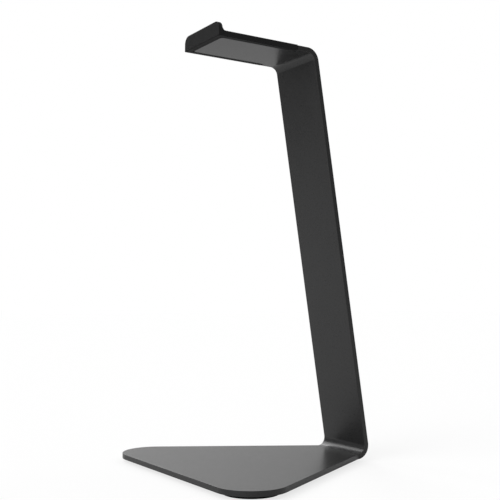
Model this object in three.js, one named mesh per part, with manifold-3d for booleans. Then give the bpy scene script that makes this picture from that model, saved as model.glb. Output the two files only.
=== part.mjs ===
// Headphone stand: one bent steel plate (base, post and arm), a moulded silicone
// cover over the end of the arm, and three round rubber feet.
//
// Millimetres, +Z up. -Y is the front, where the arm points; X = 0 is the plane of
// symmetry. Pieces are drawn in a workshop frame whose Y = 0 is the line where the
// post's front face meets the top of the base, and whose Z = 0 is the plate's
// underside. The exported group then moves the origin to the middle of the
// footprint, on the surface that the feet stand on.

import * as THREE from 'three';
import { mergeVertices } from 'three/addons/utils/BufferGeometryUtils.js';
import Module from 'manifold-3d';

const { degToRad } = THREE.MathUtils;

// Driving dimensions of the bent plate
const PLATE_THICKNESS = 3;
const PLATE_EDGE_RADIUS = 0.2;
const POST_WIDTH = 40;
const POST_LEAN = degToRad(9); // forward, from the vertical
const BEND_RADIUS = 5; // inside of both bends
const BASE_DEPTH = 125; // front edge of the base to the foot of the post
const BASE_CORNER_RADIUS = 20;
const FLARE_ANGLE = degToRad(30); // each side of the base, from the Y axis
const ARM_HEIGHT = 244; // underside of the base to underside of the arm

// Driving dimensions of the arm's end
const ARM_REACH = 104.25; // foot of the post to the front of the lip
const COVER_LENGTH = 54.25;
const RIM_WIDTH = 3.25; // silicone left showing around the blade, underneath
const FIT_GAP = 0.25;
const BLADE_THICKNESS = 2;
const BLADE_CORNER_RADIUS = 2;
const FILM_THICKNESS = 0.25;
const FILM_MARGIN = 1.5;
const COVER_SKIN = 1; // silicone above the bonding film
const COVER_EDGE_RADIUS = 0.25; // along both sides
const LIP_THICKNESS = 2.4;
const LIP_TOP = 252.75; // above the underside of the base
const LIP_ROUND = 0.4; // front and back of the lip's top edge
const LIP_CORNER_RADIUS = 4.5;
const LIP_FILLET = 2; // inside, where the lip rises from the seat
const NOSE_RADIUS = 0.5; // outside, under the lip

// Driving dimensions of the feet
const FOOT_RADIUS = 15;
const FOOT_HEIGHT = 2;
const FOOT_EDGE_RADIUS = 0.6;
const FOOT_TAPE_THICKNESS = 0.25;
const FOOT_TAPE_RADIUS = 14;
const REAR_FOOT_INSET = 5; // rear foot's edge to the start of the bend

// ExtrudeGeometry lays twice this many facets along each arc.
const ARC_STEPS = 12;
const DISC_STEPS = 28;
const EDGE_STEPS = 3;

const QUARTER = Math.PI / 2;
const halfPost = POST_WIDTH / 2;
const outerBend = BEND_RADIUS + PLATE_THICKNESS;

// Flat length that each bend takes up on the inside, up to its sharp corner.
const lowerBendAngle = QUARTER + POST_LEAN;
const upperBendAngle = QUARTER - POST_LEAN;
const lowerSetback = BEND_RADIUS * Math.tan(lowerBendAngle / 2);
const upperSetback = BEND_RADIUS * Math.tan(upperBendAngle / 2);

const armTop = ARM_HEIGHT + PLATE_THICKNESS;
const postTopY = -(ARM_HEIGHT - PLATE_THICKNESS) * Math.tan(POST_LEAN);
const lowerBendCentre = { y: -lowerSetback, z: PLATE_THICKNESS + BEND_RADIUS };
const upperBendCentre = { y: postTopY - upperSetback, z: ARM_HEIGHT - BEND_RADIUS };

const lipFront = -ARM_REACH;
const coverRear = lipFront + COVER_LENGTH;
const shoulder = coverRear + FIT_GAP;
const pocketFront = lipFront + RIM_WIDTH + FIT_GAP;
const bladeTip = pocketFront + FIT_GAP;
const pocketHalf = halfPost - RIM_WIDTH;
const bladeHalf = pocketHalf - FIT_GAP;
const bladeTop = ARM_HEIGHT + BLADE_THICKNESS;
const seatHeight = bladeTop + FILM_THICKNESS + COVER_SKIN;

const wasm = await Module();
wasm.setup();

function toSolid(geometry) {
  const bare = geometry.clone();
  bare.deleteAttribute('normal');
  bare.deleteAttribute('uv');
  const merged = mergeVertices(bare, 1e-4);
  const vertProperties = Float32Array.from(merged.attributes.position.array);
  const triVerts = Uint32Array.from(merged.index.array);
  return new wasm.Manifold(new wasm.Mesh({ numProp: 3, vertProperties, triVerts }));
}

function toGeometry(solid) {
  const { vertProperties, triVerts } = solid.getMesh();
  const geometry = new THREE.BufferGeometry();
  geometry.setAttribute('position', new THREE.BufferAttribute(vertProperties, 3));
  geometry.setIndex(new THREE.BufferAttribute(triVerts, 1));
  geometry.computeVertexNormals();
  return geometry;
}

// Extrusion of a flat outline, centred on its own plane, with its two rims rounded.
function slab(outline, thickness, edgeRadius, arcSteps = ARC_STEPS) {
  const geometry = new THREE.ExtrudeGeometry(outline, {
    depth: thickness - 2 * edgeRadius,
    curveSegments: arcSteps,
    bevelEnabled: edgeRadius > 0,
    bevelThickness: edgeRadius,
    bevelSize: edgeRadius,
    bevelOffset: -edgeRadius,
    bevelSegments: EDGE_STEPS,
  });
  return geometry.translate(0, 0, edgeRadius - thickness / 2);
}

// Extrusion across the stand of an outline drawn in the Y-Z plane.
function acrossX(outline, width, edgeRadius) {
  const turn = new THREE.Matrix4().makeBasis(
    new THREE.Vector3(0, 1, 0),
    new THREE.Vector3(0, 0, 1),
    new THREE.Vector3(1, 0, 0),
  );
  return slab(outline, width, edgeRadius).applyMatrix4(turn);
}

// Extrusion backwards from yFront to yRear of an outline drawn in the X-Z plane.
function alongY(outline, yFront, yRear) {
  const turn = new THREE.Matrix4().makeBasis(
    new THREE.Vector3(1, 0, 0),
    new THREE.Vector3(0, 0, 1),
    new THREE.Vector3(0, -1, 0),
  );
  const geometry = slab(outline, yRear - yFront, 0).applyMatrix4(turn);
  return geometry.translate(0, (yFront + yRear) / 2, 0);
}

function box(xHalf, yMin, yMax, zMin, zMax) {
  const geometry = new THREE.BoxGeometry(2 * xHalf, yMax - yMin, zMax - zMin);
  return geometry.translate(0, (yMin + yMax) / 2, (zMin + zMax) / 2);
}

// Plan of the base: a triangle with two round front corners, running back to the
// width of the post, and just past the start of the bend.
function baseOutline() {
  const corner = frontCornerCentre();
  const tail = -lowerSetback + PLATE_EDGE_RADIUS;
  const outline = new THREE.Shape();
  outline.moveTo(halfPost, tail);
  outline.lineTo(-halfPost, tail);
  outline.lineTo(-halfPost, -lowerSetback);
  outline.absarc(-corner.x, corner.y, BASE_CORNER_RADIUS, Math.PI - FLARE_ANGLE, 3 * QUARTER);
  outline.absarc(corner.x, corner.y, BASE_CORNER_RADIUS, -QUARTER, FLARE_ANGLE);
  outline.lineTo(halfPost, -lowerSetback);
  outline.closePath();
  return outline;
}

function frontCornerCentre() {
  const sharpX = halfPost + (BASE_DEPTH - lowerSetback) * Math.tan(FLARE_ANGLE);
  const cornerAngle = QUARTER - FLARE_ANGLE;
  return {
    x: sharpX - BASE_CORNER_RADIUS / Math.tan(cornerAngle / 2),
    y: -BASE_DEPTH + BASE_CORNER_RADIUS,
  };
}

// Side view of the strip: back of the base, lower bend, post, upper bend, arm.
function stripProfile() {
  const start = -lowerSetback - PLATE_THICKNESS;
  const profile = new THREE.Shape();
  profile.moveTo(start, 0);
  profile.absarc(lowerBendCentre.y, lowerBendCentre.z, outerBend, -QUARTER, POST_LEAN);
  profile.absarc(upperBendCentre.y, upperBendCentre.z, outerBend, POST_LEAN, QUARTER);
  profile.lineTo(shoulder, armTop);
  profile.lineTo(shoulder, ARM_HEIGHT);
  profile.absarc(upperBendCentre.y, upperBendCentre.z, BEND_RADIUS, QUARTER, POST_LEAN, true);
  profile.absarc(lowerBendCentre.y, lowerBendCentre.z, BEND_RADIUS, POST_LEAN, -QUARTER, true);
  profile.lineTo(start, PLATE_THICKNESS);
  profile.closePath();
  return profile;
}

// Plan of the narrow blade that the cover slides over.
function bladeOutline() {
  const r = BLADE_CORNER_RADIUS;
  const root = shoulder + PLATE_THICKNESS;
  const outline = new THREE.Shape();
  outline.moveTo(bladeHalf, root);
  outline.lineTo(-bladeHalf, root);
  outline.absarc(-bladeHalf + r, bladeTip + r, r, Math.PI, 3 * QUARTER);
  outline.absarc(bladeHalf - r, bladeTip + r, r, -QUARTER, 0);
  outline.closePath();
  return outline;
}

function standPlate() {
  const base = slab(baseOutline(), PLATE_THICKNESS, PLATE_EDGE_RADIUS);
  base.translate(0, 0, PLATE_THICKNESS / 2);
  const strip = acrossX(stripProfile(), POST_WIDTH, PLATE_EDGE_RADIUS);
  const blade = slab(bladeOutline(), BLADE_THICKNESS, 0);
  blade.translate(0, 0, ARM_HEIGHT + BLADE_THICKNESS / 2);
  return toGeometry(toSolid(base).add(toSolid(strip)).add(toSolid(blade)));
}

// Side view of the cover: the flat seat, the fillet and the upright lip. The seat
// runs on past the cover's rear end, where coverFront() cuts it square.
function coverProfile() {
  const lipBack = lipFront + LIP_THICKNESS;
  const round = LIP_ROUND;
  const rear = coverRear + 2 * COVER_EDGE_RADIUS;
  const profile = new THREE.Shape();
  profile.moveTo(rear, ARM_HEIGHT);
  profile.lineTo(rear, seatHeight);
  profile.absarc(lipBack + LIP_FILLET, seatHeight + LIP_FILLET, LIP_FILLET, -QUARTER, Math.PI, true);
  profile.absarc(lipBack - round, LIP_TOP - round, round, 0, QUARTER);
  profile.absarc(lipFront + round, LIP_TOP - round, round, QUARTER, Math.PI);
  profile.absarc(lipFront + NOSE_RADIUS, ARM_HEIGHT + NOSE_RADIUS, NOSE_RADIUS, Math.PI, 3 * QUARTER);
  profile.closePath();
  return profile;
}

// Front view of the cover, with the lip's two round top corners.
function coverFront() {
  const r = LIP_CORNER_RADIUS;
  const below = ARM_HEIGHT - PLATE_THICKNESS;
  const outline = new THREE.Shape();
  outline.moveTo(-halfPost, below);
  outline.lineTo(halfPost, below);
  outline.absarc(halfPost - r, LIP_TOP - r, r, 0, QUARTER);
  outline.absarc(-halfPost + r, LIP_TOP - r, r, QUARTER, Math.PI);
  outline.closePath();
  return outline;
}

function headbandCover() {
  const body = toSolid(acrossX(coverProfile(), POST_WIDTH, COVER_EDGE_RADIUS));
  const front = toSolid(alongY(coverFront(), lipFront - PLATE_THICKNESS, coverRear));
  const pocketTop = bladeTop + FILM_THICKNESS;
  const pocketBottom = ARM_HEIGHT - PLATE_THICKNESS;
  const pocketRear = coverRear + PLATE_THICKNESS;
  const pocket = toSolid(box(pocketHalf, pocketFront, pocketRear, pocketBottom, pocketTop));
  return toGeometry(body.intersect(front).subtract(pocket));
}

function bondingFilm() {
  const yMin = bladeTip + BLADE_CORNER_RADIUS + FILM_MARGIN;
  const yMax = coverRear - FILM_MARGIN;
  return box(bladeHalf - FILM_MARGIN, yMin, yMax, bladeTop, bladeTop + FILM_THICKNESS);
}

// An upright disc, standing on z = 0.
function disc(radius, thickness, edgeRadius) {
  const outline = new THREE.Shape();
  outline.absarc(0, 0, radius, 0, 4 * QUARTER);
  return slab(outline, thickness, edgeRadius, DISC_STEPS).translate(0, 0, thickness / 2);
}

const finishes = {
  coatedSteel: { color: 0x3c3d3f, roughness: 0.45, metalness: 0.35 },
  silicone: { color: 0x1d1d1e, roughness: 0.7, metalness: 0 },
  rubber: { color: 0x161616, roughness: 0.85, metalness: 0 },
  tape: { color: 0xb9b6ad, roughness: 0.6, metalness: 0 },
};

function piece(name, geometry, finish) {
  const mesh = new THREE.Mesh(geometry, new THREE.MeshStandardMaterial(finishes[finish]));
  mesh.name = name;
  return mesh;
}

const group = new THREE.Group();
group.add(piece('stand_plate', standPlate(), 'coatedSteel'));
group.add(piece('headband_cover', headbandCover(), 'silicone'));
group.add(piece('cover_bonding_film', bondingFilm(), 'tape'));

const corner = frontCornerCentre();
const rearFootY = -lowerSetback - REAR_FOOT_INSET - FOOT_RADIUS;
const footPlaces = {
  front_left: [-corner.x, corner.y],
  front_right: [corner.x, corner.y],
  rear: [0, rearFootY],
};
for (const [place, [x, y]] of Object.entries(footPlaces)) {
  const padShape = disc(FOOT_RADIUS, FOOT_HEIGHT - FOOT_TAPE_THICKNESS, FOOT_EDGE_RADIUS);
  const pad = piece(`foot_pad_${place}`, padShape, 'rubber');
  pad.position.set(x, y, -FOOT_HEIGHT);
  const tapeShape = disc(FOOT_TAPE_RADIUS, FOOT_TAPE_THICKNESS, 0);
  const tape = piece(`foot_tape_${place}`, tapeShape, 'tape');
  tape.position.set(x, y, -FOOT_TAPE_THICKNESS);
  group.add(pad, tape);
}

// Origin to the middle of the footprint, on the standing surface.
const rearmost = lowerBendCentre.y + outerBend;
group.position.set(0, (BASE_DEPTH - rearmost) / 2, FOOT_HEIGHT);

export default group;
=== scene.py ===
"""Looks of the headphone stand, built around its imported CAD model.

Metres, +Z up, -Y is the front, X = 0 is the plane of symmetry. The bent plate, the
moulded cover and the feet are rebuilt as finer meshes in the places of their CAD
nodes. The bonding film and the adhesive discs keep their CAD shape.

Colours are linear. The size of a pattern is about the size of its features.
"""

import math

import bmesh
import bpy
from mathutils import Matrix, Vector


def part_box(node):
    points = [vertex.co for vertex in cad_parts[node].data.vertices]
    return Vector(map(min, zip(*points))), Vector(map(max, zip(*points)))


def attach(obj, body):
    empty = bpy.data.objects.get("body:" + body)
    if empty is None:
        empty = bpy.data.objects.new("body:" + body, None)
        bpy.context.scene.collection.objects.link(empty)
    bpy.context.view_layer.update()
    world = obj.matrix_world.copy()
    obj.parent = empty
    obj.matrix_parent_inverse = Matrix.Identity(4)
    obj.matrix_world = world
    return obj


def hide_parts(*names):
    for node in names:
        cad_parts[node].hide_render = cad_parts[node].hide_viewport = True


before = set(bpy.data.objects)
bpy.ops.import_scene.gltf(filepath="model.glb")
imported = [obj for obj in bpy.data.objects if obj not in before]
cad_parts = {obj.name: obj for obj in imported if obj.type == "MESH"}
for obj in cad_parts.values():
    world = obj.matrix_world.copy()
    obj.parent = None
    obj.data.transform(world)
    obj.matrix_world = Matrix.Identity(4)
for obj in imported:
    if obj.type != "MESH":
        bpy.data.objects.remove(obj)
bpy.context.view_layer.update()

MM = 0.001
BODY = "root"
QUARTER = math.pi / 2

# Bent plate
PLATE_THICKNESS = 3 * MM
PLATE_EDGE_ROUND = 0.18 * MM
BEND_RADIUS = 5 * MM
POST_LEAN = math.radians(9)
HALF_POST = 20 * MM
BASE_CORNER_RADIUS = 20 * MM
FLARE_ANGLE = math.radians(30)
FIT_GAP = 0.25 * MM
BLADE_THICKNESS = 2 * MM
BLADE_CORNER_RADIUS = 2 * MM
CORNER_STEPS = 48
BLADE_CORNER_STEPS = 8
BEND_STEPS = 28
PLATE_EDGE_STEPS = 5

# Moulded cover
RIM_WIDTH = 3.25 * MM
COVER_SKIN = 1 * MM
LIP_THICKNESS = 2.4 * MM
LIP_CORNER_RADIUS = 4.5 * MM
LIP_FILLET = 2 * MM
NOSE_RADIUS = 0.45 * MM
COVER_EDGE_ROUND = 0.18 * MM
CORNER_ANGLE = math.radians(40)  # edges of the cover that turn more are rounded
LIP_CORNER_STEPS = 14
LIP_FILLET_STEPS = 6
NOSE_STEPS = 4
COVER_EDGE_STEPS = 4

# Feet
FOOT_EDGE_ROUND = 0.3 * MM
FOOT_EDGE_STEPS = 5
FOOT_RING_STEPS = 120
FOOT_INNER_RINGS = (0.3, 0.6, 0.85)  # shares of the radius

TOLERANCE = 1e-7
MERGE_DISTANCE = 1e-6

plate_lo, plate_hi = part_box("stand_plate")
cover_lo, cover_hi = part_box("headband_cover")
film_lo, film_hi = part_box("cover_bonding_film")


# ---------------------------------------------------------------- mesh helpers


def add_piece(name, bm, material, slot, *nodes):
    """Turns a bmesh into a smooth-shaded piece that stands for the given CAD nodes."""
    bmesh.ops.recalc_face_normals(bm, faces=bm.faces)
    if bm.calc_volume(signed=True) < 0:
        bmesh.ops.reverse_faces(bm, faces=bm.faces)
    mesh = bpy.data.meshes.new(name)
    bm.to_mesh(mesh)
    bm.free()
    mesh.shade_smooth()
    piece = bpy.data.objects.new(name, mesh)
    bpy.context.scene.collection.objects.link(piece)
    mesh.materials.append(material)
    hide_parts(*nodes)
    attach(piece, BODY)
    return piece


FAVOUR_LARGE_FACES = 100


def weighted_normals(piece):
    """Keeps flat faces flat next to narrow rounded edges."""
    modifier = piece.modifiers.new("Weighted normals", "WEIGHTED_NORMAL")
    modifier.weight = FAVOUR_LARGE_FACES
    modifier.keep_sharp = True
    modifier.mode = "FACE_AREA"


def apply_modifiers(piece):
    """Replaces the piece's mesh by its evaluated one."""
    graph = bpy.context.evaluated_depsgraph_get()
    made = bpy.data.meshes.new_from_object(piece.evaluated_get(graph))
    old = piece.data
    piece.modifiers.clear()
    piece.data = made
    bpy.data.meshes.remove(old)
    made.name = piece.name


def arc(centre, radius, start, end, steps):
    """Points along an arc, both ends included."""
    turns = [start + (end - start) * i / steps for i in range(steps + 1)]
    return [
        (centre[0] + radius * math.cos(a), centre[1] + radius * math.sin(a))
        for a in turns
    ]


# ---------------------------------------------------------------- bent plate

# The plate is drawn flat: x across, s along, from the start of the lower bend,
# and d down from the face that ends up inside both bends. Then it is folded.
lower_centre = Vector((plate_hi.y - BEND_RADIUS - PLATE_THICKNESS, 0))
lower_centre.y = plate_lo.z + PLATE_THICKNESS + BEND_RADIUS
upper_height = plate_hi.z - PLATE_THICKNESS - BEND_RADIUS
rise = upper_height - lower_centre.y
upper_centre = Vector((lower_centre.x - rise * math.tan(POST_LEAN), upper_height))

bend_middle = BEND_RADIUS + PLATE_THICKNESS / 2
lower_bend_end = bend_middle * (QUARTER + POST_LEAN)
upper_bend_start = lower_bend_end + rise / math.cos(POST_LEAN)
upper_bend_end = upper_bend_start + bend_middle * (QUARTER - POST_LEAN)


def arm_station(y):
    """Place along the flat plate of a point on the arm."""
    return upper_bend_end + upper_centre.x - y


def fold(point):
    """Flat (x, s, d) to the stand's own frame."""
    x, s, d = point
    reach = BEND_RADIUS + d
    if s <= 0:
        return Vector((x, lower_centre.x + s, lower_centre.y - reach))
    if s >= upper_bend_end:
        y = upper_centre.x - (s - upper_bend_end)
        return Vector((x, y, upper_centre.y + reach))
    if s < lower_bend_end:
        centre, angle = lower_centre, s / bend_middle - QUARTER
    elif s > upper_bend_start:
        centre, angle = upper_centre, POST_LEAN + (s - upper_bend_start) / bend_middle
    else:
        up = s - lower_bend_end
        tangent = Vector((-math.sin(POST_LEAN), math.cos(POST_LEAN)))
        centre, angle = lower_centre + up * tangent, POST_LEAN
    return Vector(
        (x, centre.x + reach * math.cos(angle), centre.y + reach * math.sin(angle))
    )


def base_and_strip_outline(shoulder):
    """Anticlockwise from the shoulder's left end, round the base, to its right end."""
    corner_x = plate_hi.x - BASE_CORNER_RADIUS
    corner_s = plate_lo.y + BASE_CORNER_RADIUS - lower_centre.x
    outline = [(-HALF_POST, shoulder), (-HALF_POST, 0)]
    outline += arc(
        (-corner_x, corner_s),
        BASE_CORNER_RADIUS,
        math.pi - FLARE_ANGLE,
        3 * QUARTER,
        CORNER_STEPS,
    )
    outline += arc(
        (corner_x, corner_s), BASE_CORNER_RADIUS, -QUARTER, FLARE_ANGLE, CORNER_STEPS
    )
    return outline + [(HALF_POST, 0), (HALF_POST, shoulder)]


def blade_outline(shoulder):
    """Anticlockwise from the blade's right root, round its tip, to its left root."""
    half = HALF_POST - RIM_WIDTH - FIT_GAP
    tip = arm_station(cover_lo.y + RIM_WIDTH + 2 * FIT_GAP)
    r = BLADE_CORNER_RADIUS
    outline = [(half, shoulder)]
    outline += arc((half - r, tip - r), r, 0, QUARTER, BLADE_CORNER_STEPS)
    outline += arc((r - half, tip - r), r, QUARTER, math.pi, BLADE_CORNER_STEPS)
    return outline + [(-half, shoulder)]


def flat_plate():
    """The flat blank with its thinner blade, edges still sharp, and the edges to round."""
    bm = bmesh.new()
    shoulder = arm_station(cover_hi.y + FIT_GAP)
    body = base_and_strip_outline(shoulder)
    blade = blade_outline(shoulder)
    inner = [bm.verts.new((x, s, 0)) for x, s in body]
    inner_blade = [bm.verts.new((x, s, 0)) for x, s in blade]
    outer = [bm.verts.new((x, s, PLATE_THICKNESS)) for x, s in body]
    outer_blade = [bm.verts.new((x, s, BLADE_THICKNESS)) for x, s in blade]
    bm.faces.new(inner + inner_blade)
    bm.faces.new(outer)
    bm.faces.new(outer_blade)
    for low, high in ((inner, outer), (inner_blade, outer_blade)):
        for i in range(len(low) - 1):
            bm.faces.new((low[i], low[i + 1], high[i + 1], high[i]))
    step = [inner[-1], inner_blade[0], outer_blade[0], outer_blade[-1]]
    step += [inner_blade[-1], inner[0], outer[0], outer[-1]]
    bm.faces.new(step)
    bmesh.ops.recalc_face_normals(bm, faces=bm.faces)

    rims = []
    for loop in (inner + inner_blade, outer):
        for a, b in zip(loop, loop[1:] + loop[:1]):
            rims.append(bm.edges.get((a, b)))
    rims += [bm.edges.get((inner[i], outer[i])) for i in (0, -1)]
    return bm, rims


def in_fixed_order(bm, mark):
    """A copy whose vertices and faces come in the same order in every run."""
    old = bm.verts.layers.float[mark]
    verts = sorted(bm.verts, key=lambda vert: tuple(vert.co))
    place = {vert: i for i, vert in enumerate(verts)}
    rings = []
    for face in bm.faces:
        ring = [place[vert] for vert in face.verts]
        start = ring.index(min(ring))
        rings.append(ring[start:] + ring[:start])
    made = bmesh.new()
    new = made.verts.layers.float.new(mark)
    copies = []
    for vert in verts:
        copies.append(made.verts.new(vert.co))
        copies[-1][new] = vert[old]
    for ring in sorted(rings):
        made.faces.new([copies[i] for i in ring])
    bm.free()
    return made


def stand_plate(material):
    """Rounds the blank's rims, cuts it across where it will bend, and folds it."""
    bm, rims = flat_plate()
    # Marks the vertices of the rounded rims for a painted highlight along the edges.
    highlight_mask = bm.verts.layers.float.new("painted_highlight_edge")
    rounded = bmesh.ops.bevel(
        bm,
        geom=rims,
        offset=PLATE_EDGE_ROUND,
        offset_type="OFFSET",
        segments=PLATE_EDGE_STEPS,
        profile=0.5,
        affect="EDGES",
        clamp_overlap=False,
    )
    round_faces = set(rounded["faces"])
    for vert in bm.verts:
        vert[highlight_mask] = float(all(f in round_faces for f in vert.link_faces))

    cuts = [arm_station(cover_hi.y + FIT_GAP)]
    for start, end in ((0, lower_bend_end), (upper_bend_start, upper_bend_end)):
        cuts += [start + (end - start) * i / BEND_STEPS for i in range(BEND_STEPS + 1)]
    for s in cuts:
        bmesh.ops.bisect_plane(
            bm,
            geom=bm.verts[:] + bm.edges[:] + bm.faces[:],
            dist=TOLERANCE,
            plane_co=(0, s, 0),
            plane_no=(0, 1, 0),
        )
    for vert in bm.verts:
        vert.co = fold(vert.co)
    bm = in_fixed_order(bm, "painted_highlight_edge")
    piece = add_piece("bent_plate", bm, material, "coated_steel", "stand_plate")
    weighted_normals(piece)
    return piece


# ---------------------------------------------------------------- moulded cover


def lip_height(x):
    """Top of the lip at x: level, with a round corner at each end."""
    into_corner = abs(x) - (cover_hi.x - LIP_CORNER_RADIUS)
    if into_corner <= 0:
        return cover_hi.z
    drop = math.sqrt(max(LIP_CORNER_RADIUS**2 - into_corner**2, 0))
    return cover_hi.z - LIP_CORNER_RADIUS + drop


def cover_section(x):
    """Side view of the cover at x, as (y, z) from the seat's rear end, over the lip
    and round the nose, to where the pocket starts."""
    front, bottom = cover_lo.y, cover_lo.z
    lip_back, seat = front + LIP_THICKNESS, film_hi.z + COVER_SKIN
    height = lip_height(x)
    centre = (lip_back + LIP_FILLET, seat + LIP_FILLET)
    cut = min(height, centre[1])
    top_turn = math.pi + math.asin((centre[1] - cut) / LIP_FILLET)
    section = [(cover_hi.y, seat)]
    section += arc(centre, LIP_FILLET, 3 * QUARTER, top_turn, LIP_FILLET_STEPS)
    if height - cut > COVER_EDGE_ROUND:
        section.append((lip_back, height))
    else:
        section.append(section[-1])
    section.append((front, height))
    nose = (front + NOSE_RADIUS, bottom + NOSE_RADIUS)
    section += arc(nose, NOSE_RADIUS, math.pi, 3 * QUARTER, NOSE_STEPS)
    return section + [(front + RIM_WIDTH + FIT_GAP, bottom)]


def cover_shell():
    """Skin stretched over side views of the cover, with the pocket for the blade."""
    half, pocket_half = cover_hi.x, cover_hi.x - RIM_WIDTH
    turns = [QUARTER * i / LIP_CORNER_STEPS for i in range(LIP_CORNER_STEPS + 1)]
    right = [half - LIP_CORNER_RADIUS * (1 - math.sin(t)) for t in turns]
    right = sorted(right + [pocket_half])
    stations = [-x for x in reversed(right)] + right
    ceiling, rear, bottom = film_hi.z, cover_hi.y, cover_lo.z
    pocket_front = cover_lo.y + RIM_WIDTH + FIT_GAP

    bm = bmesh.new()

    def outlines(x):
        """The side view at x with the pocket left solid, and with it cut out. Both
        are there on the pocket's side walls, and only one is anywhere else."""
        section = [bm.verts.new((x, y, z)) for y, z in cover_section(x)]
        above = bm.verts.new((x, rear, ceiling))
        solid = pocket = None
        if abs(x) > pocket_half - TOLERANCE:
            solid = section + [bm.verts.new((x, rear, bottom)), above]
        if abs(x) < pocket_half + TOLERANCE:
            pocket = section + [bm.verts.new((x, pocket_front, ceiling)), above]
        return solid, pocket

    rings = [outlines(x) for x in stations]
    for left, right in zip(rings, rings[1:]):
        kind = 1 if left[1] and right[1] else 0
        low, high = left[kind], right[kind]
        for i in range(len(low)):
            j = (i + 1) % len(low)
            bm.faces.new((low[i], low[j], high[j], high[i]))
    for solid, pocket in rings:
        if solid and pocket:
            bm.faces.new((solid[-3], solid[-2], solid[-1], pocket[-2]))
    for end in (rings[0][0], rings[-1][0]):
        bm.faces.new(end)
    bmesh.ops.remove_doubles(bm, verts=bm.verts, dist=MERGE_DISTANCE)
    bmesh.ops.recalc_face_normals(bm, faces=bm.faces)
    return bm


def headband_cover(material):
    """The cover, with every square edge slightly rounded."""
    bm = cover_shell()
    weight = bm.edges.layers.float.new("bevel_weight_edge")
    for edge in bm.edges:
        if edge.calc_face_angle_signed(0) > CORNER_ANGLE:
            edge[weight] = 1
    piece = add_piece("moulded_cover", bm, material, "silicone", "headband_cover")
    bevel = piece.modifiers.new("Rounded edges", "BEVEL")
    bevel.width = COVER_EDGE_ROUND
    bevel.segments = COVER_EDGE_STEPS
    bevel.limit_method = "WEIGHT"
    bevel.use_clamp_overlap = False
    bevel.miter_outer = "MITER_SHARP"
    weighted_normals(piece)
    apply_modifiers(piece)
    return piece


# ---------------------------------------------------------------- feet


def foot_pad(place, material):
    """A disc with both rims rounded, in the place of one CAD foot."""
    node = f"foot_pad_{place}"
    lo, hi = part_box(node)
    centre = (lo + hi) / 2
    radius, e = (hi.x - lo.x) / 2, FOOT_EDGE_ROUND
    profile = [(radius * share, lo.z) for share in FOOT_INNER_RINGS]
    profile += arc((radius - e, lo.z + e), e, -QUARTER, 0, FOOT_EDGE_STEPS)
    profile += arc((radius - e, hi.z - e), e, 0, QUARTER, FOOT_EDGE_STEPS)
    profile += [(radius * share, hi.z) for share in reversed(FOOT_INNER_RINGS)]

    bm = bmesh.new()
    rings = []
    for r, z in profile:
        ring = []
        for i in range(FOOT_RING_STEPS):
            a = 2 * math.pi * i / FOOT_RING_STEPS
            x, y = centre.x + r * math.cos(a), centre.y + r * math.sin(a)
            ring.append(bm.verts.new((x, y, z)))
        rings.append(ring)
    for low, high in zip(rings, rings[1:]):
        for i in range(FOOT_RING_STEPS):
            j = (i + 1) % FOOT_RING_STEPS
            bm.faces.new((low[i], low[j], high[j], high[i]))
    for ring, z in ((rings[0], lo.z), (rings[-1], hi.z)):
        middle = bm.verts.new((centre.x, centre.y, z))
        for i in range(FOOT_RING_STEPS):
            bm.faces.new((ring[i], ring[(i + 1) % FOOT_RING_STEPS], middle))
    piece = add_piece(f"rubber_foot_{place}", bm, material, "foot_rubber", node)
    weighted_normals(piece)
    return piece


# ---------------------------------------------------------------- materials

NOISE_SPAN = (0.3, 0.7)  # where nearly all of a noise's values lie
CELL_SMOOTHNESS = 0.6
MIX_FIRST, MIX_SECOND, MIX_RESULT = 6, 7, 2  # a Mix node's colour sockets


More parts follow.
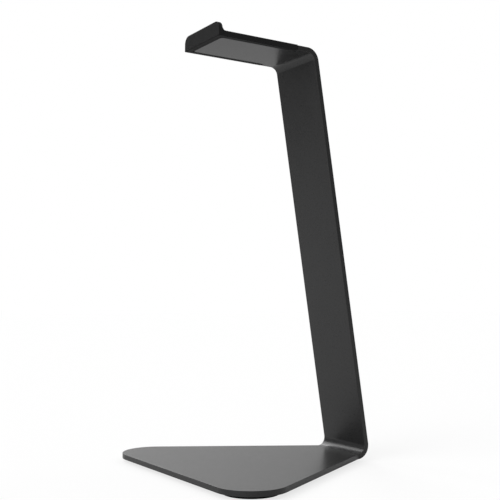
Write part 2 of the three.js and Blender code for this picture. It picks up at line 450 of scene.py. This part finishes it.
class Nodes:
    """A material with its Principled shader, and short calls to add nodes to it."""

    def __init__(self, name):
        self.material = bpy.data.materials.new(name)
        self.material.use_nodes = True
        self.tree = self.material.node_tree
        self.shader = self.tree.nodes["Principled BSDF"]
        self.place = self.add("ShaderNodeTexCoord").outputs["Object"]

    def add(self, kind, **settings):
        node = self.tree.nodes.new(kind)
        for key, value in settings.items():
            setattr(node, key, value)
        return node

    def link(self, source, target):
        self.tree.links.new(source, target)

    def noise(self, size, detail, roughness=0.5):
        """A cloudy pattern."""
        node = self.add("ShaderNodeTexNoise")
        node.inputs["Scale"].default_value = 1 / size
        node.inputs["Detail"].default_value = detail
        node.inputs["Roughness"].default_value = roughness
        self.link(self.place, node.inputs["Vector"])
        return node.outputs["Fac"]

    def cells(self, size):
        """A pattern of round cells, lowest in the middle of each."""
        node = self.add("ShaderNodeTexVoronoi", feature="SMOOTH_F1")
        node.inputs["Scale"].default_value = 1 / size
        node.inputs["Smoothness"].default_value = CELL_SMOOTHNESS
        self.link(self.place, node.inputs["Vector"])
        return node.outputs["Distance"]

    def spread(self, pattern, low=0, high=1, span=NOISE_SPAN):
        """Maps a pattern's values over span to low..high."""
        node = self.add("ShaderNodeMapRange")
        node.inputs["From Min"].default_value = span[0]
        node.inputs["From Max"].default_value = span[1]
        node.inputs["To Min"].default_value = low
        node.inputs["To Max"].default_value = high
        self.link(pattern, node.inputs["Value"])
        return node.outputs["Result"]

    def mix(self, share, first, second):
        """The first colour, with a share of the second over it."""
        node = self.add("ShaderNodeMix", data_type="RGBA")
        self.link(share, node.inputs["Factor"])
        for index, colour in ((MIX_FIRST, first), (MIX_SECOND, second)):
            if isinstance(colour, tuple):
                node.inputs[index].default_value = (*colour, 1)
            else:
                self.link(colour, node.inputs[index])
        return node.outputs[MIX_RESULT]

    def colour(self, source):
        self.link(source, self.shader.inputs["Base Color"])

    def roughness(self, broad, level, fine, change):
        """A broad pattern over the range level, plus a fine one over change."""
        node = self.add("ShaderNodeMath", operation="ADD")
        self.link(self.spread(broad, *level), node.inputs[0])
        self.link(self.spread(fine, *change), node.inputs[1])
        self.link(node.outputs[0], self.shader.inputs["Roughness"])

    def bump(self, *layers):
        """Stacks (height pattern, depth) layers into the shader's normal."""
        normal = None
        for height, depth in layers:
            node = self.add("ShaderNodeBump")
            node.inputs["Strength"].default_value = 1
            node.inputs["Distance"].default_value = depth
            self.link(height, node.inputs["Height"])
            if normal:
                self.link(normal, node.inputs["Normal"])
            normal = node.outputs["Normal"]
        self.link(normal, self.shader.inputs["Normal"])

    def set(self, **values):
        for key, value in values.items():
            socket = self.shader.inputs[key.replace("_", " ")]
            socket.default_value = value


STEEL_DARK, STEEL_PALE = (0.0165, 0.0165, 0.0167), (0.0200, 0.0200, 0.0203)
STEEL_GRAIN, STEEL_GRAIN_SHARE = (0.027, 0.027, 0.0275), 0.7
STEEL_SPECK, STEEL_SPECK_SHARE = (0.032, 0.032, 0.0326), 0.8
STEEL_SPECK_SPAN = (0.05, 0.22)
# Painted highlight: a paler coat colour laid on the rounded edges.
STEEL_EDGE_HIGHLIGHT, STEEL_EDGE_HIGHLIGHT_SHARE = (0.04, 0.04, 0.041), 0.25
STEEL_PEEL_DEPTH = 0.022 * MM
STEEL_GRAIN_DEPTH = 0.016 * MM


def coated_steel():
    """Satin black powder coat: fine grain, faint orange peel, and a painted highlight that
    makes the rounded edges paler.
    """
    n = Nodes("coated_steel")
    grain = n.noise(size=0.5 * MM, detail=4, roughness=0.6)
    peel = n.noise(size=1.3 * MM, detail=2)
    cloud = n.noise(size=24 * MM, detail=3)
    specks = n.cells(size=1.1 * MM)
    highlight_mask = n.add("ShaderNodeAttribute", attribute_name="painted_highlight_edge").outputs["Fac"]
    coat = n.mix(n.spread(cloud), STEEL_DARK, STEEL_PALE)
    coat = n.mix(n.spread(grain, high=STEEL_GRAIN_SHARE), coat, STEEL_GRAIN)
    speckled = n.spread(specks, low=STEEL_SPECK_SHARE, high=0, span=STEEL_SPECK_SPAN)
    coat = n.mix(speckled, coat, STEEL_SPECK)
    # Painted highlight along the rounded edges, mixed into the coat colour.
    lit_edges = n.spread(highlight_mask, high=STEEL_EDGE_HIGHLIGHT_SHARE, span=(0, 1))
    n.colour(n.mix(lit_edges, coat, STEEL_EDGE_HIGHLIGHT))
    n.roughness(cloud, level=(0.29, 0.31), fine=grain, change=(-0.05, 0.06))
    n.bump((peel, STEEL_PEEL_DEPTH), (grain, STEEL_GRAIN_DEPTH))
    n.set(Specular_IOR_Level=0.365, IOR=1.5)
    return n.material


SILICONE_DARK, SILICONE_PALE = (0.0095, 0.0095, 0.0097), (0.0120, 0.0120, 0.0123)
SILICONE_ETCH, SILICONE_ETCH_SHARE = (0.0165, 0.0165, 0.0168), 0.7
SILICONE_PIT_DEPTH = 0.07 * MM
SILICONE_ETCH_DEPTH = 0.03 * MM


def silicone():
    """Matt moulded silicone with a fine etched texture."""
    n = Nodes("silicone")
    etch = n.noise(size=0.4 * MM, detail=3, roughness=0.6)
    pits = n.cells(size=0.8 * MM)
    cloud = n.noise(size=9 * MM, detail=3)
    skin = n.mix(n.spread(cloud), SILICONE_DARK, SILICONE_PALE)
    n.colour(n.mix(n.spread(etch, high=SILICONE_ETCH_SHARE), skin, SILICONE_ETCH))
    n.roughness(cloud, level=(0.74, 0.8), fine=etch, change=(-0.05, 0.06))
    n.bump((pits, SILICONE_PIT_DEPTH), (etch, SILICONE_ETCH_DEPTH))
    n.set(Specular_IOR_Level=0.25, IOR=1.4)
    return n.material


RUBBER_DARK, RUBBER_PALE = (0.0045, 0.0045, 0.0045), (0.0075, 0.0075, 0.0074)
RUBBER_PEBBLE_DEPTH = 0.03 * MM
RUBBER_GRAIN_DEPTH = 0.006 * MM


def foot_rubber():
    """Soft black rubber with a pebbled skin."""
    n = Nodes("foot_rubber")
    pebbles = n.cells(size=0.55 * MM)
    grain = n.noise(size=0.15 * MM, detail=3)
    cloud = n.noise(size=6 * MM, detail=2)
    n.colour(n.mix(n.spread(cloud), RUBBER_DARK, RUBBER_PALE))
    n.roughness(cloud, level=(0.74, 0.82), fine=grain, change=(-0.04, 0.05))
    n.bump((pebbles, RUBBER_PEBBLE_DEPTH), (grain, RUBBER_GRAIN_DEPTH))
    n.set(Specular_IOR_Level=0.2)
    return n.material


FILM_DARK, FILM_PALE = (0.36, 0.345, 0.305), (0.47, 0.455, 0.41)
FILM_RIPPLE_DEPTH = 0.02 * MM
FILM_GRAIN_DEPTH = 0.004 * MM


def adhesive_film():
    """Pale double-sided film with a slightly rippled, cloudy adhesive."""
    n = Nodes("adhesive_film")
    ripple = n.noise(size=1.8 * MM, detail=2)
    grain = n.noise(size=0.2 * MM, detail=3)
    cloud = n.noise(size=4 * MM, detail=3)
    n.colour(n.mix(n.spread(cloud), FILM_DARK, FILM_PALE))
    n.roughness(ripple, level=(0.42, 0.58), fine=grain, change=(-0.05, 0.05))
    n.bump((ripple, FILM_RIPPLE_DEPTH), (grain, FILM_GRAIN_DEPTH))
    return n.material


# ---------------------------------------------------------------- the stand

FEET = ("front_left", "front_right", "rear")

stand_plate(coated_steel())
headband_cover(silicone())
rubber = foot_rubber()
for place in FEET:
    foot_pad(place, rubber)

film_material = adhesive_film()
for node in ["cover_bonding_film"] + [f"foot_tape_{place}" for place in FEET]:
    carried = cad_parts[node]
    carried.data.materials.clear()
    carried.data.materials.append(film_material)

# ---------------------------------------------------------------- studio

FLOOR_SIZE = 12
FLOOR_CELLS = 8
FLOOR_TONE = 0.7
FLOOR_ROUGHNESS = 0.9
FLOOR_GLOSS = 0.1
SHADOW_SHARE = 0.35  # how much of the floor's shading the camera sees
FLOOR_LIFT = 0.76  # even white, which the camera sees under the rest of it
WHITE = (1, 1, 1, 1)
AMBIENT = 0.25
BACKDROP_TONE = 1.0
PANEL_ANGLE = math.radians(44)
PANEL_SHARE = 0.433  # strength of a distant panel that wide, per unit of its radiance

# Name, azimuth and elevation in degrees, radiance
PANELS = (
    ("key", 90, 38, 3.4),
    ("key_spill", 64, 36, 0.7),
    ("front", 178, 38, 1.5),
    ("front_right", 208, 38, 1.2),
    ("front_low", 196, 8, 1.35),
    ("side_low", 64, 8, 0.3),
    ("rear_fill", 8, 44, 1.1),
)

CAMERA_PLACE = (0.431026, -0.287064, 0.097080)
CAMERA_AZIMUTH = 57.208
CAMERA_TILT = 3.4006
FOCAL_LENGTH = 62.533  # millimetres, as is the sensor
SENSOR_WIDTH = 36


def toward(azimuth, elevation):
    """Unit vector; azimuth is in degrees from +Y towards -X, elevation from the floor."""
    a, e = math.radians(azimuth), math.radians(elevation)
    return Vector((-math.sin(a) * math.cos(e), math.cos(a) * math.cos(e), math.sin(e)))


def camera_only(tree, for_others, for_camera):
    """Shows one shader to the camera and the other to every other ray."""
    path = tree.nodes.new("ShaderNodeLightPath")
    pick = tree.nodes.new("ShaderNodeMixShader")
    tree.links.new(path.outputs["Is Camera Ray"], pick.inputs["Fac"])
    tree.links.new(for_others, pick.inputs[1])
    tree.links.new(for_camera, pick.inputs[2])
    return pick.outputs[0]


def studio_floor():
    """A matt pale floor. The camera sees it as nearly white, with faint shadows."""
    bm = bmesh.new()
    bmesh.ops.create_grid(
        bm, x_segments=FLOOR_CELLS, y_segments=FLOOR_CELLS, size=FLOOR_SIZE / 2
    )
    mesh = bpy.data.meshes.new("studio_floor")
    bm.to_mesh(mesh)
    bm.free()
    floor = bpy.data.objects.new("studio_floor", mesh)
    bpy.context.scene.collection.objects.link(floor)
    n = Nodes("studio_floor")
    n.set(
        Base_Color=(*[FLOOR_TONE] * 3, 1),
        Roughness=FLOOR_ROUGHNESS,
        Specular_IOR_Level=FLOOR_GLOSS,
    )
    faint = n.add("ShaderNodeBsdfDiffuse")
    faint.inputs["Color"].default_value = (*[FLOOR_TONE * SHADOW_SHARE] * 3, 1)
    glow = n.add("ShaderNodeEmission")
    glow.inputs["Strength"].default_value = FLOOR_LIFT
    lit = n.add("ShaderNodeAddShader")
    n.link(faint.outputs[0], lit.inputs[0])
    n.link(glow.outputs[0], lit.inputs[1])
    shown = camera_only(n.tree, n.shader.outputs[0], lit.outputs[0])
    n.link(shown, n.tree.nodes["Material Output"].inputs["Surface"])
    mesh.materials.append(n.material)


def light_panel(name, azimuth, elevation, radiance):
    """A wide, far, even panel of light."""
    data = bpy.data.lights.new(name, "SUN")
    data.angle = PANEL_ANGLE
    data.energy = radiance * PANEL_SHARE
    lamp = bpy.data.objects.new(name, data)
    bpy.context.scene.collection.objects.link(lamp)
    lamp.rotation_euler = toward(azimuth, elevation).to_track_quat("Z", "Y").to_euler()


def studio_world():
    """A dim even dome. The camera sees it as a plain white backdrop."""
    world = bpy.data.worlds.new("studio_world")
    world.use_nodes = True
    tree = world.node_tree
    tree.nodes.clear()
    out = tree.nodes.new("ShaderNodeOutputWorld")
    tones = []
    for strength in (AMBIENT, BACKDROP_TONE):
        tone = tree.nodes.new("ShaderNodeBackground")
        tone.inputs["Color"].default_value = WHITE
        tone.inputs["Strength"].default_value = strength
        tones.append(tone.outputs[0])
    tree.links.new(camera_only(tree, *tones), out.inputs["Surface"])
    bpy.context.scene.world = world


def camera():
    """In front, to the right, near the floor and tilted up a little."""
    data = bpy.data.cameras.new("camera")
    data.sensor_width = SENSOR_WIDTH
    data.lens = FOCAL_LENGTH
    view = bpy.data.objects.new("camera", data)
    bpy.context.scene.collection.objects.link(view)
    view.location = CAMERA_PLACE
    ahead = toward(CAMERA_AZIMUTH, CAMERA_TILT)
    view.rotation_euler = ahead.to_track_quat("-Z", "Y").to_euler()
    bpy.context.scene.camera = view


for panel in PANELS:
    light_panel(*panel)
studio_floor()
studio_world()
camera()
bpy.context.scene.view_settings.view_transform = "Standard"
